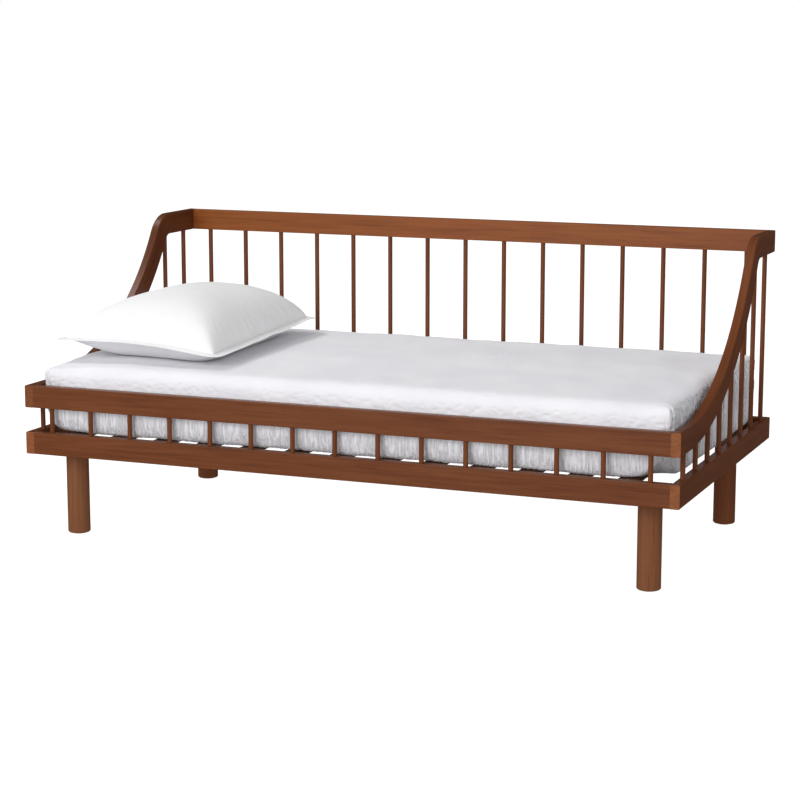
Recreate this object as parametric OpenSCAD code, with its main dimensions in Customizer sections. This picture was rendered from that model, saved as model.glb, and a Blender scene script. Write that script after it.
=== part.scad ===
// Daybed with curved arms, turned spindles, a slatted base, a mattress and a pillow.
// Frame: +X to the right, the open front faces -Y, +Z up, origin on the floor under the middle of the bed.

/* [Overall size] */
// Length over the two side frames, along X
bed_l = 1955.8; // [1850:0.1:2100]
// Depth from front to back, along Y
bed_d = 1046.5; // [1000:0.1:1120]
// Height of the back rail and of the arms
bed_h = 878.8; // [820:0.1:960]

/* [Timber] */
// Height of every rail and width of the bent arms
rail_h = 65; // [60:0.5:68]
// Thickness of the side frames, along X
side_t = 25.8; // [24:0.1:32]
// Thickness of the front and back rails, along Y
rail_t = 25; // [24:0.1:32]
// Radius of the eased long edges
ease_r = 2.5; // [1:0.5:5]
// Underside of the front upper rail, above the floor
upper_z = 385.5; // [360:0.5:410]

/* [Arms] */
// Level length at the back of each arm
arm_back = 186; // [150:1:220]
// Level length at the front of each arm
arm_front = 101; // [70:1:140]
// Centre-line radius of the round bend behind the sweep
bend_r = 66.5; // [50:0.5:85]

/* [Spindles] */
// Diameter of the spindles
spindle_d = 14; // [10:0.5:18]
// Number of spindles in the front and in the back
long_spindles = 15; // [9:2:15]
// Distance from the bed's end to the first front or back spindle
long_margin = 81.9; // [75:0.1:120]
// Distance from the bed's front or back face to the first side spindle
side_margin = 75.25; // [65:0.25:90]
// Depth that each spindle goes into a straight rail
seat = 15; // [10:1:20]
// Depth that each side spindle goes into the bent arm
arm_seat = 22; // [18:1:26]

/* [Legs] */
// Height of the lower rails' underside above the floor
leg_h = 248.6; // [200:0.1:260]
// Diameter of the legs
leg_d = 66; // [50:1:70]
// Distance from the bed's outer faces to each leg's centre
leg_inset = 107; // [100:1:110]
// Side of the square corner blocks
block_w = 120; // [115:1:130]
// Thickness of the corner blocks
block_t = 24; // [20:1:26]
// Diameter of the foot pads
pad_d = 48; // [30:1:49]

/* [Slats] */
// Width of each slat
slat_w = 55; // [40:1:70]
// Thickness of each slat
slat_t = 12; // [8:1:14]
// Distance from the slats' tops down from the lower rails' tops
slat_drop = 2.6; // [0:0.1:6]
// Distance from the side frame's inner face to the first slat's centre
slat_margin = 124; // [60:1:140]
// Thickness of the ledgers under the slats
ledger_t = 20; // [16:1:26]

/* [Mattress] */
// Gap between the mattress and each side frame
mattress_gap_x = 11; // [5:0.5:20]
// Gap between the mattress and the front or back rail
mattress_gap_y = 15.25; // [5:0.25:25]
// Thickness of the mattress
mattress_h = 198.7; // [150:0.1:200]
// Corner radius of the mattress, seen from above
mattress_corner = 45; // [45:1:120]
// Radius of the mattress's upper and lower edges
mattress_edge = 40; // [30:1:45]
// Thickness of the quilted cover
cover_t = 8; // [4:1:12]

/* [Pillow] */
// Width of the pillow with its flange, along X
pillow_w = 546; // [450:1:600]
// Length of the pillow with its flange, along Y
pillow_l = 800; // [650:1:860]
// Height of the pillow above the mattress
pillow_h = 189; // [120:1:210]
// Height of the flange above the mattress
flange_z = 50; // [30:1:60]
// Thickness of the sham's cloth with its lining
sham_t = 4; // [2:1:6]

/* [Hidden] */
$fn = 48;
SIDE_SPINDLES = 8;
SLATS = 13;
side_spindle_names = [for (side = ["left", "right"], i = [1:SIDE_SPINDLES]) str(side, "_spindle_", i)];
slat_names = [for (i = [1:SLATS]) str("slat_", i)];

// Colours
walnut = "#6f3f28";
end_walnut = "#7c4a30";
slat_wood = "#6a4630";
felt = "#2c2a29";
zinc = "#b9bcc0";
knit = "#eeeef2";
cotton = "#f6f6f8";
foam = "#f1e6c8";

// A clearance that keeps fitted pieces apart
fit = 0.1;
// A clearance between pieces of different bodies
body_gap = 0.3;

// Inside faces of the frame
inner_x = bed_l / 2 - side_t;
inner_y = bed_d / 2 - rail_t;
rail_l = 2 * inner_x;

// Heights of the rails' centre lines
lower_mid = leg_h + rail_h / 2;
upper_mid = upper_z + rail_h / 2;
top_mid = bed_h - rail_h / 2;
lower_top = leg_h + rail_h;
top_under = bed_h - rail_h;

// Centre line of the bent arm: two arcs that meet at a common tangent
bend_y = bed_d / 2 - arm_back;
sweep_y = -bed_d / 2 + arm_front;
arm_run = bend_y - sweep_y;
arm_drop = top_mid - upper_mid;
arm_turn = 2 * atan(arm_drop / arm_run);
sweep_r = arm_run / sin(arm_turn) - bend_r;
bend_z = top_mid - bend_r;
sweep_z = upper_mid + sweep_r;

// Rows of spindles and slats
long_pitch = (bed_l - 2 * long_margin) / (long_spindles - 1);
side_pitch = (bed_d - 2 * side_margin) / (SIDE_SPINDLES - 1);
long_xs = [for (i = [0:long_spindles - 1]) -bed_l / 2 + long_margin + i * long_pitch];
side_ys = [for (i = [0:SIDE_SPINDLES - 1]) -bed_d / 2 + side_margin + i * side_pitch];
side_mid = bed_l / 2 - side_t / 2;
rail_mid = bed_d / 2 - rail_t / 2;
slat_xs = [for (i = [0:SLATS - 1]) -inner_x + slat_margin + i * (rail_l - 2 * slat_margin) / (SLATS - 1)];

// Slatted base
slat_top = lower_top - slat_drop;
slat_z = slat_top - slat_t;
block_top = leg_h + block_t;
ledger_h = slat_z - block_top;
ledger_mid = block_top + ledger_h / 2;
ledger_y = inner_y - ledger_t;
slat_l = 2 * inner_y - 4;

// Legs
leg_x = bed_l / 2 - leg_inset;
leg_y = bed_d / 2 - leg_inset;
leg_edge = 3;
pad_t = 4;
pad_recess = 2;
leg_base = pad_t - pad_recess;

// Fasteners
bolt_r = 4;
bolt_in_leg = 45;
nut_r = 5.5;
nut_flange_r = 11;
nut_flange_t = 1.5;
nut_l = 14;
bolt_top = block_top + nut_flange_t + 3;
dowel_r = 4;
dowel_in_side = 16;
dowel_in_rail = 20;
dowel_rise = 20;
cam_r = 7.5;
cam_t = 12.5;
cam_back = 24;
cam_screw_r = 3;
cam_screw_in = 11;
cam_shank_r = 2.2;
cam_seat_r = 3.4;
cam_slot = [8, 3, 1.6];
screw_r = 2;
screw_head_r = 4;
screw_head_t = 2.5;
screw_l = 35;
ledger_screw_pitch = 250;
ledger_screw_xs = [for (i = [-3:3]) i * ledger_screw_pitch];
slat_screw_y = inner_y - ledger_t / 2;

// Mattress and pillow
mattress_x = inner_x - mattress_gap_x;
mattress_y = inner_y - mattress_gap_y;
mattress_z = slat_top + body_gap;
mattress_top = mattress_z + mattress_h;
pillow_x = -inner_x + 3 + pillow_w / 2;
pillow_z = mattress_top + body_gap;
soft_fn = 28;
flange_w = 25;
pillow_corner = 15;
base_corner = 60;

// Height of the arm's underside at a distance y from the bed's middle
function arm_under(y) =
    let (inside_r = bend_r - rail_h / 2, outside_r = sweep_r + rail_h / 2)
    y >= bend_y ? top_under
    : y >= bend_y - inside_r * sin(arm_turn) ? bend_z + sqrt(inside_r ^ 2 - (y - bend_y) ^ 2)
    : y >= sweep_y ? sweep_z - sqrt(outside_r ^ 2 - (y - sweep_y) ^ 2)
    : upper_z;

// A rectangle a by b with its corners rounded
module eased_rect(a, b, r = ease_r) {
    square([a - 2 * r, b], center = true);
    square([a, b - 2 * r], center = true);
    for (sx = [-1, 1], sy = [-1, 1])
        translate([sx * (a / 2 - r), sy * (b / 2 - r)]) circle(r);
}

// A bar along X, centred, a wide along Y and b high
module bar_x(l, a, b) {
    rotate([90, 0, 90]) linear_extrude(l, center = true) eased_rect(a, b);
}

// A bar along Y, centred, a wide along X and b high
module bar_y(l, a, b) {
    rotate([90, 0, 0]) linear_extrude(l, center = true) eased_rect(a, b);
}

// A cylinder along X or Y from the given point, towards +X or +Y when l is positive
module rod_x(r, l) {
    translate([min(l, 0), 0, 0]) rotate([0, 90, 0]) cylinder(h = abs(l), r = r);
}

module rod_y(r, l) {
    translate([0, max(l, 0), 0]) rotate([90, 0, 0]) cylinder(h = abs(l), r = r);
}

// The two dowel heights and the cam height at a rail joint centred at z
module dowels_at(z) {
    for (s = [-1, 1]) translate([0, 0, z + s * dowel_rise]) children();
}

// Holes for one rail end: dowels, cam dowel and cam lock.
// end is -1 on the left and 1 on the right, inside is the side that the cam opens to
module rail_end_holes(end, y, z, inside) {
    translate([end * inner_x, y, 0]) {
        dowels_at(z) rod_x(dowel_r + fit, -end * (dowel_in_rail + 0.5));
        translate([0, 0, z]) rod_x(cam_seat_r + fit, -end * (cam_back + cam_r));
        translate([-end * cam_back, inside * rail_t / 2, z]) rod_y(cam_r + fit, -inside * (cam_t + 0.5));
    }
}

// Holes in a side frame for one rail joint, in the face at inner_x
module side_joint_holes(side, y, z) {
    translate([side * inner_x, y, 0]) {
        dowels_at(z) rod_x(dowel_r + fit, side * (dowel_in_side + 0.5));
        translate([0, 0, z]) rod_x(cam_screw_r + fit, side * (cam_screw_in + 0.5));
    }
}

// A straight rail between the side frames. inside is +1 when the cams open towards +Y
module long_rail(y, z, inside) {
    difference() {
        translate([0, y, z]) bar_x(rail_l, rail_t, rail_h);
        for (end = [-1, 1]) rail_end_holes(end, y, z, inside);
        children();
    }
}

// Blind holes for a row of spindles, from z upwards
module spindle_holes(y, z) {
    for (x = long_xs) translate([x, y, z]) cylinder(h = seat + 1, d = spindle_d + 2 * fit);
}

// Pilot holes for the ledger's screws, in a lower rail. side is -1 at the front
module ledger_pilots(side) {
    for (x = ledger_screw_xs)
        translate([x, side * (inner_y - 1), ledger_mid])
            rod_y(screw_r + fit, side * (screw_l - ledger_t + 2));
}

module front_upper_rail() {
    color(walnut) long_rail(-rail_mid, upper_mid, 1) spindle_holes(-rail_mid, upper_z - 1);
}

module front_lower_rail() {
    color(walnut) long_rail(-rail_mid, lower_mid, 1) {
        spindle_holes(-rail_mid, lower_top - seat);
        ledger_pilots(-1);
        for (side = [-1, 1]) block_dowel_holes(side, -1);
    }
}

module back_top_rail() {
    color(walnut) long_rail(rail_mid, top_mid, 1) spindle_holes(rail_mid, top_under - 1);
}

module back_lower_rail() {
    color(walnut) long_rail(rail_mid, lower_mid, -1) {
        spindle_holes(rail_mid, lower_top - seat);
        ledger_pilots(1);
        for (side = [-1, 1]) block_dowel_holes(side, 1);
    }
}

// The arm's own section: the same bar with its four edges planed off flat
module planed_rect(a, b, c = ease_r) {
    u = a / 2;
    v = b / 2;
    polygon([
        [u, v - c], [u - c, v], [c - u, v], [-u, v - c],
        [-u, c - v], [c - u, -v], [u - c, -v], [u, c - v]
    ]);
}

// The bent band of one arm, lying in the plane x = 0
module arm_band() {
    rotate([90, 0, 90]) {
        translate([bend_y, top_mid]) arm_bar(arm_back, 1);
        translate([bend_y, bend_z])
            rotate(90)
                rotate_extrude(angle = arm_turn, $fn = 72)
                    translate([bend_r, 0]) planed_rect(rail_h, side_t);
        translate([sweep_y, sweep_z])
            rotate(-90)
                rotate_extrude(angle = arm_turn, $fn = 240)
                    translate([sweep_r, 0]) planed_rect(rail_h, side_t);
        translate([sweep_y, upper_mid]) arm_bar(arm_front, -1);
    }
}

// A level end of the arm in the band's own plane, l long towards dir
module arm_bar(l, dir) {
    translate([dir * l / 2, 0])
        rotate([90, 0, 90]) linear_extrude(l, center = true) planed_rect(rail_h, side_t);
}

// One arm. side is -1 for the left arm, 1 for the right
module arm(side) {
    color(walnut) difference() {
        translate([side * side_mid, 0, 0]) arm_band();
        for (y = side_ys) {
            lowest = arm_under(y - spindle_d / 2) - 3;
            highest = arm_under(y) + arm_seat + 1;
            translate([side * side_mid, y, lowest])
                cylinder(h = highest - lowest, d = spindle_d + 2 * fit);
        }
        side_joint_holes(side, -rail_mid, upper_mid);
        side_joint_holes(side, rail_mid, top_mid);
    }
}

module left_arm() {
    arm(-1);
}

module right_arm() {
    arm(1);
}

// One side lower rail, over the full depth
module side_lower_rail(side) {
    color(walnut) difference() {
        translate([side * side_mid, 0, lower_mid]) bar_y(bed_d, side_t, rail_h);
        for (y = side_ys)
            translate([side * side_mid, y, lower_top - seat])
                cylinder(h = seat + 1, d = spindle_d + 2 * fit);
        for (end = [-1, 1]) {
            side_joint_holes(side, end * rail_mid, lower_mid);
            block_dowel_holes(side, end);
        }
    }
}

module left_lower_rail() {
    side_lower_rail(-1);
}

module right_lower_rail() {
    side_lower_rail(1);
}

module front_spindles() {
    color(walnut) for (x = long_xs)
        translate([x, -rail_mid, lower_top - seat + 0.5])
            cylinder(h = upper_z - lower_top + 2 * seat - 1, d = spindle_d);
}

module back_spindles() {
    color(walnut) for (x = long_xs)
        translate([x, rail_mid, lower_top - seat + 0.5])
            cylinder(h = top_under - lower_top + 2 * seat - 1, d = spindle_d);
}

// Side spindle number i, counted from the front
module side_spindle(side, i) {
    y = side_ys[i - 1];
    base = lower_top - seat + 0.5;
    color(walnut) translate([side * side_mid, y, base])
        cylinder(h = arm_under(y) + arm_seat - base, d = spindle_d);
}

// The ledger that carries the slats' ends
module ledger(side) {
    color(walnut) difference() {
        translate([0, side * (inner_y - ledger_t / 2), ledger_mid])
            cube([rail_l, ledger_t, ledger_h], center = true);
        for (x = ledger_screw_xs)
            translate([x, side * (ledger_y - 1), ledger_mid]) {
                rod_y(screw_r + fit, side * (ledger_t + 2));
                rod_y(screw_head_r + fit, side * (screw_head_t + 1));
            }
        for (x = slat_xs)
            translate([x, side * slat_screw_y, slat_top - screw_l - 0.5])
                cylinder(h = screw_l, r = screw_r + fit);
    }
}

module front_ledger() {
    ledger(-1);
}

module back_ledger() {
    ledger(1);
}

// Slat number i, counted from the left
module slat(i) {
    color(slat_wood) translate([slat_xs[i - 1], 0, slat_z]) difference() {
        translate([0, 0, slat_t / 2]) rotate([90, 0, 0])
            linear_extrude(slat_l, center = true) eased_rect(slat_w, slat_t, 1.5);
        for (side = [-1, 1]) translate([0, side * slat_screw_y, -1]) {
            cylinder(h = slat_t + 2, r = screw_r + fit);
            translate([0, 0, slat_t + 1 - screw_head_t])
                cylinder(h = screw_head_t + 1, r = screw_head_r + fit);
        }
    }
}

// Places its children at a corner's leg centre. side is -1 on the left, end is -1 at the front
module at_leg(side, end) {
    translate([side * leg_x, end * leg_y, 0]) children();
}

module at_legs() {
    for (side = [-1, 1], end = [-1, 1]) at_leg(side, end) children();
}

// Dowels between a corner block and the two rails it sits in, one pair to each
module block_dowels(side, end, r, extra) {
    z = leg_h + block_t / 2;
    for (s = [0.3, 0.7]) {
        translate([side * (inner_x - s * block_w), end * (inner_y - dowel_in_rail - extra), z])
            rod_y(r, end * (dowel_in_rail + dowel_in_side + 2 * extra));
        translate([side * (inner_x - dowel_in_rail - extra), end * (inner_y - s * block_w), z])
            rod_x(r, side * (dowel_in_rail + dowel_in_side + 2 * extra));
    }
}

module block_dowel_holes(side, end) {
    block_dowels(side, end, dowel_r + fit, 0.5);
}

// The block inside a corner that takes a leg's bolt
module corner_block(side, end) {
    color(walnut) difference() {
        translate([side * (inner_x - block_w / 2), end * (inner_y - block_w / 2), leg_h + block_t / 2])
            cube([block_w, block_w, block_t], center = true);
        block_dowel_holes(side, end);
        at_leg(side, end) translate([0, 0, leg_h - 1]) {
            cylinder(h = block_t + 2, r = bolt_r + fit);
            translate([0, 0, block_t + 1 - nut_l]) cylinder(h = nut_l + 1, r = nut_r + fit);
        }
    }
}

module corner_block_front_left() {
    corner_block(-1, -1);
}

module corner_block_front_right() {
    corner_block(1, -1);
}

module corner_block_back_left() {
    corner_block(-1, 1);
}

module corner_block_back_right() {
    corner_block(1, 1);
}

// A plain round leg with an eased foot, a recess for its pad and a bore for its bolt
module leg(side, end) {
    leg_r = leg_d / 2;
    color(walnut) at_leg(side, end) difference() {
        union() {
            translate([0, 0, leg_base + leg_edge])
                cylinder(h = leg_h - leg_base - leg_edge, r = leg_r, $fn = 96);
            translate([0, 0, leg_base])
                cylinder(h = leg_edge, r1 = leg_r - leg_edge, r2 = leg_r, $fn = 96);
        }
        translate([0, 0, leg_h - bolt_in_leg - 1]) cylinder(h = bolt_in_leg + 2, r = bolt_r + fit);
        translate([0, 0, leg_base - 1]) cylinder(h = pad_recess + 1, d = pad_d + 2 * fit);
    }
}

module leg_front_left() {
    leg(-1, -1);
}

module leg_front_right() {
    leg(1, -1);
}

module leg_back_left() {
    leg(-1, 1);
}

module leg_back_right() {
    leg(1, 1);
}

module foot_pads() {
    color(felt) at_legs() cylinder(h = pad_t, d = pad_d);
}

module hanger_bolts() {
    color(zinc) at_legs() translate([0, 0, leg_h - bolt_in_leg])
        cylinder(h = bolt_top - leg_h + bolt_in_leg, r = bolt_r);
}

// A nut with a round barrel in the block and a flange on top of it
module tee_nuts() {
    color(zinc) at_legs() difference() {
        union() {
            translate([0, 0, block_top - nut_l + 0.5]) cylinder(h = nut_l, r = nut_r);
            translate([0, 0, block_top]) cylinder(h = nut_flange_t, r = nut_flange_r);
        }
        translate([0, 0, block_top - nut_l - 1]) cylinder(h = nut_l + nut_flange_t + 2, r = bolt_r + fit);
    }
}

// Runs its children at the eight joints between a rail's end and a side frame.
// Each joint is its place in y and z, and the side that its cam opens to
module at_joints() {
    joints = [
        [-rail_mid, lower_mid, 1],
        [-rail_mid, upper_mid, 1],
        [rail_mid, lower_mid, -1],
        [rail_mid, top_mid, 1]
    ];
    for (side = [-1, 1], j = joints)
        translate([side * inner_x, j.x, j.y]) scale([side, j.z, 1]) children();
}

module dowels() {
    color(end_walnut) {
        at_joints() dowels_at(0)
            translate([-dowel_in_rail, 0, 0]) rod_x(dowel_r, dowel_in_rail + dowel_in_side);
        for (side = [-1, 1], end = [-1, 1]) block_dowels(side, end, dowel_r, 0);
    }
}

// A screw into the side frame with a shank and a round head that the cam holds
module cam_dowels() {
    color(zinc) at_joints() {
        rod_x(cam_screw_r, cam_screw_in);
        rod_x(cam_shank_r, 1 - cam_back);
        translate([-cam_back - 1, 0, 0]) rod_x(cam_seat_r, 4);
    }
}

// A round cam set into a rail's hidden face, with a pocket for the cam dowel's head
module cam_locks() {
    color(zinc) at_joints() translate([-cam_back, rail_t / 2 - cam_t, 0]) difference() {
        rod_y(cam_r, cam_t);
        translate([-2, cam_t - rail_t / 2, 0]) rod_x(cam_seat_r + fit, cam_r + 3);
        for (turn = [0, 90])
            translate([0, cam_t - 1, 0]) rotate([0, turn, 0]) cube(cam_slot, center = true);
    }
}

// A screw that points down, with the top of its flat head at the origin
module wood_screw() {
    translate([0, 0, -screw_l]) cylinder(h = screw_l, r = screw_r);
    translate([0, 0, -screw_head_t]) cylinder(h = screw_head_t, r = screw_head_r);
}

module wood_screws() {
    color(zinc) for (side = [-1, 1]) {
        for (x = ledger_screw_xs)
            translate([x, side * ledger_y, ledger_mid]) rotate([side * 90, 0, 0]) wood_screw();
        for (x = slat_xs)
            translate([x, side * slat_screw_y, slat_top]) wood_screw();
    }
}

// A block with rounded corners and edges, all its faces moved in by inset
module cushion_block(inset) {
    corner = mattress_corner - inset;
    edge = mattress_edge - inset;
    h = mattress_h - 2 * inset;
    translate([0, 0, mattress_z + inset]) hull()
        for (sx = [-1, 1], sy = [-1, 1], z = [edge, h - edge])
            translate([sx * (mattress_x - mattress_corner), sy * (mattress_y - mattress_corner), z])
                rotate_extrude($fn = soft_fn) translate([corner - edge, 0]) intersection() {
                    circle(edge, $fn = soft_fn);
                    translate([0, -edge]) square([edge, 2 * edge]);
                }
}

module mattress_core() {
    color(foam) cushion_block(cover_t + body_gap);
}

module mattress_cover() {
    color(knit) difference() {
        cushion_block(0);
        cushion_block(cover_t);
    }
}

// A filled pillow, widest at the flange's height, with its seam moved in by seam
// and its crown and base moved in by inset
module pillow_form(inset, seam) {
    w = pillow_w - 2 * seam;
    l = pillow_l - 2 * seam;
    crown = pillow_h - flange_z - inset;
    translate([pillow_x, 0, pillow_z + flange_z]) hull() {
        linear_extrude(2 * sham_t, center = true) eased_rect(w, l, pillow_corner);
        translate([0, 0, inset - flange_z])
            linear_extrude(1) eased_rect(0.65 * w, 0.75 * l, base_corner);
        intersection() {
            resize([0.85 * w, 0.85 * l, 2 * crown]) sphere(crown, $fn = soft_fn);
            translate([-w / 2, -l / 2, 0]) cube([w, l, crown + 1]);
        }
    }
}

module pillow_filling() {
    color(cotton) pillow_form(sham_t + body_gap, flange_w + body_gap);
}

module pillow_sham() {
    color(cotton) difference() {
        pillow_form(0, 0);
        pillow_form(sham_t, flange_w);
    }
}

front_upper_rail();
front_lower_rail();
back_top_rail();
back_lower_rail();
left_arm();
right_arm();
left_lower_rail();
right_lower_rail();
front_spindles();
back_spindles();
for (i = [1:SIDE_SPINDLES]) {
    side_spindle(-1, i);
    side_spindle(1, i);
}
front_ledger();
back_ledger();
for (i = [1:SLATS]) {
    slat(i);
}
corner_block_front_left();
corner_block_front_right();
corner_block_back_left();
corner_block_back_right();
leg_front_left();
leg_front_right();
leg_back_left();
leg_back_right();
foot_pads();
hanger_bolts();
tee_nuts();
dowels();
cam_dowels();
cam_locks();
wood_screws();
mattress_core();
mattress_cover();
pillow_filling();
pillow_sham();
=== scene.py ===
"""A daybed: bent-arm walnut frame, a gathered mattress and one flanged pillow."""
import math

import bpy
import numpy as np
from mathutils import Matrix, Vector
from mathutils.bvhtree import BVHTree


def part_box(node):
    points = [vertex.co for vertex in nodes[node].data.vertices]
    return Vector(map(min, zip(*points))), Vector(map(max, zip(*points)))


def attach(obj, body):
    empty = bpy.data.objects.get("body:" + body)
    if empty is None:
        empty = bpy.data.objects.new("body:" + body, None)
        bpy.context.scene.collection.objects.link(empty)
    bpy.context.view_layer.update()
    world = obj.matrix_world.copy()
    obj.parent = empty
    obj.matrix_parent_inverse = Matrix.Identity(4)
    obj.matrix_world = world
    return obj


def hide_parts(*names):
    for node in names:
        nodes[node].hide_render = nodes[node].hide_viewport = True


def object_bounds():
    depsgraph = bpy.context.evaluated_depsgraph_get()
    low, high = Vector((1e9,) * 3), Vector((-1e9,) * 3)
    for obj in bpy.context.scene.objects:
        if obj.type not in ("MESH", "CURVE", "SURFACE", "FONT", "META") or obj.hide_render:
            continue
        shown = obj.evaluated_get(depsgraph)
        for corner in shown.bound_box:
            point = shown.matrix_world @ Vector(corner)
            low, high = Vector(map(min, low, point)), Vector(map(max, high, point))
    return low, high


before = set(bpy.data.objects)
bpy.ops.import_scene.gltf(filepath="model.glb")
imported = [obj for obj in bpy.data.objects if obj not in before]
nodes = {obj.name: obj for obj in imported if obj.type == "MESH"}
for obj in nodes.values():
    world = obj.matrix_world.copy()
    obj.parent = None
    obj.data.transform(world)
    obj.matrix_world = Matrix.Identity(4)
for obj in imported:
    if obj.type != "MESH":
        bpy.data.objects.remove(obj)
cad_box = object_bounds()
scene = bpy.context.scene

MM = 0.001
TAU = 2 * math.pi


# ---------------------------------------------------------------- camera

def make_camera():
    """The photograph's viewpoint: low, in front and well to the right."""
    data = bpy.data.cameras.new("camera")
    data.lens = 97.44
    data.sensor_width = 36
    data.clip_end = 200
    camera = bpy.data.objects.new("camera", data)
    camera.location = (2.3687, -5.8494, 1.5072)
    camera.rotation_euler = (math.radians(79.928), 0, math.radians(22.167))
    scene.collection.objects.link(camera)
    scene.camera = camera


make_camera()


# ---------------------------------------------------------------- node helper

class Shade:
    """A material's node graph, with short calls for its usual nodes."""

    def __init__(self, name, **settings):
        self.material = bpy.data.materials.new(name)
        self.material.use_nodes = True
        self.tree = self.material.node_tree
        self.tree.nodes.clear()
        self.out = self.tree.nodes.new("ShaderNodeOutputMaterial")
        self.skin = self.tree.nodes.new("ShaderNodeBsdfPrincipled")
        self.tree.links.new(self.skin.outputs[0], self.out.inputs["Surface"])
        for socket, value in settings.items():
            self.skin.inputs[socket.replace("_", " ")].default_value = value

    def put(self, socket, value):
        """Links value to a socket, or sets it where value is plain."""
        if isinstance(value, bpy.types.NodeSocket):
            self.tree.links.new(value, socket)
        else:
            socket.default_value = value

    def node(self, kind, inputs=(), **settings):
        made = self.tree.nodes.new("ShaderNode" + kind)
        for key, value in settings.items():
            setattr(made, key, value)
        for key, value in dict(inputs).items():
            self.put(made.inputs[key], value)
        return made

    def math(self, operation, a, b=0.0, c=0.0):
        return self.node("Math", {0: a, 1: b, 2: c}, operation=operation).outputs[0]

    def place(self):
        return self.node("TexCoord").outputs["Object"]

    def normal(self):
        return self.node("TexCoord").outputs["Normal"]

    def scaled(self, vector, scale):
        return self.node("Mapping", {"Vector": vector, "Scale": scale}).outputs[0]

    def noise(self, vector, scale=1.0, detail=4.0, rough=0.55, distort=0.0):
        values = {
            "Vector": vector, "Scale": scale, "Detail": detail,
            "Roughness": rough, "Distortion": distort,
        }
        return self.node("TexNoise", values).outputs["Fac"]

    def ramp(self, factor, stops):
        """stops is a list of (place, colour or grey)."""
        made = self.node("ValToRGB", {"Fac": factor})
        band = made.color_ramp
        while len(band.elements) < len(stops):
            band.elements.new(0.5)
        for element, (place, colour) in zip(band.elements, stops):
            element.position = place
            if not isinstance(colour, (tuple, list)):
                colour = (colour,) * 3
            element.color = (*colour, 1)
        return made.outputs["Color"]

    def remap(self, value, low, high, to_low=0.0, to_high=1.0):
        values = {
            "Value": value, "From Min": low, "From Max": high,
            "To Min": to_low, "To Max": to_high,
        }
        return self.node("MapRange", values).outputs[0]

    def mix(self, factor, a, b):
        made = self.node("Mix", data_type="RGBA")
        self.put(made.inputs[0], factor)
        for socket, value in ((made.inputs[6], a), (made.inputs[7], b)):
            if isinstance(value, (tuple, list)):
                value = (*value, 1)
            self.put(socket, value)
        return made.outputs[2]

    def bump(self, height, strength, distance, normal=None):
        values = {"Height": height, "Strength": strength, "Distance": distance}
        made = self.node("Bump", values)
        if normal is not None:
            self.put(made.inputs["Normal"], normal)
        return made.outputs[0]

    def finish(self, **sockets):
        for key, value in sockets.items():
            self.put(self.skin.inputs[key.replace("_", " ")], value)
        return self.material


# ---------------------------------------------------------------- wood

# The stain's colours, from its pores to its palest streaks
WALNUT = [(0.076, 0.019, 0.005), (0.149, 0.041, 0.0110), (0.205, 0.064, 0.019)]
# A board that took the stain lighter, along the back, and painted light: its lighter tone also
# stands in for how the back rail is lit
BACK_STAIN_AND_LIGHT = [(0.120, 0.028, 0.005), (0.235, 0.062, 0.011), (0.310, 0.092, 0.018)]
# The turned legs, a shade greyer and lighter: partly their own tone, partly painted light for
# how the front legs are lit
LEG_STAIN_AND_LIGHT = [(0.105, 0.033, 0.012), (0.200, 0.072, 0.026), (0.260, 0.103, 0.041)]
# The left arm, darker than its pair: partly its stain, partly painted shade for its inner face,
# which lies in shade
LEFT_ARM_STAIN_AND_SHADE = [(0.058, 0.013, 0.0035), (0.112, 0.029, 0.0075), (0.156, 0.047, 0.014)]
# Plain sawn timber under the mattress
SUPPORT = [(0.075, 0.030, 0.016), (0.135, 0.060, 0.032), (0.190, 0.090, 0.050)]
SLAT = [(0.050, 0.020, 0.012), (0.095, 0.041, 0.023), (0.140, 0.065, 0.038)]

# The hidden dowels, unstained
BEECH = [(0.30, 0.18, 0.09), (0.48, 0.32, 0.18), (0.60, 0.43, 0.26)]


def middle_height(name):
    low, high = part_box(name)
    return (low[2] + high[2]) / 2


# Centre lines of the bent arms: level in front, a long sweep, a round bend, level behind
FRONT_Y, BACK_Y = cad_box[0][1], cad_box[1][1]
SWEEP_Y, BEND_Y = FRONT_Y + 101 * MM, BACK_Y - 186 * MM
UPPER_MID, TOP_MID = middle_height("front_upper_rail"), middle_height("back_top_rail")
BEND_R = 66.5 * MM
ARM_TURN = 2 * math.atan((TOP_MID - UPPER_MID) / (BEND_Y - SWEEP_Y))
SWEEP_R = (BEND_Y - SWEEP_Y) / math.sin(ARM_TURN) - BEND_R
SWEEP_Z, BEND_Z = UPPER_MID + SWEEP_R, TOP_MID - BEND_R


def straight_grain(shade, axis):
    """(place with the grain turned along X, how much a face shows end grain)."""
    place = shade.node("SeparateXYZ", {0: shade.place()})
    normal = shade.node("SeparateXYZ", {0: shade.normal()})
    order = {"X": "XYZ", "Y": "YXZ", "Z": "ZXY"}[axis]
    turned = shade.node("CombineXYZ", {i: place.outputs[k] for i, k in enumerate(order)})
    facing = shade.math("ABSOLUTE", normal.outputs[axis])
    return turned.outputs[0], shade.remap(facing, 0.8, 0.9)


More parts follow.
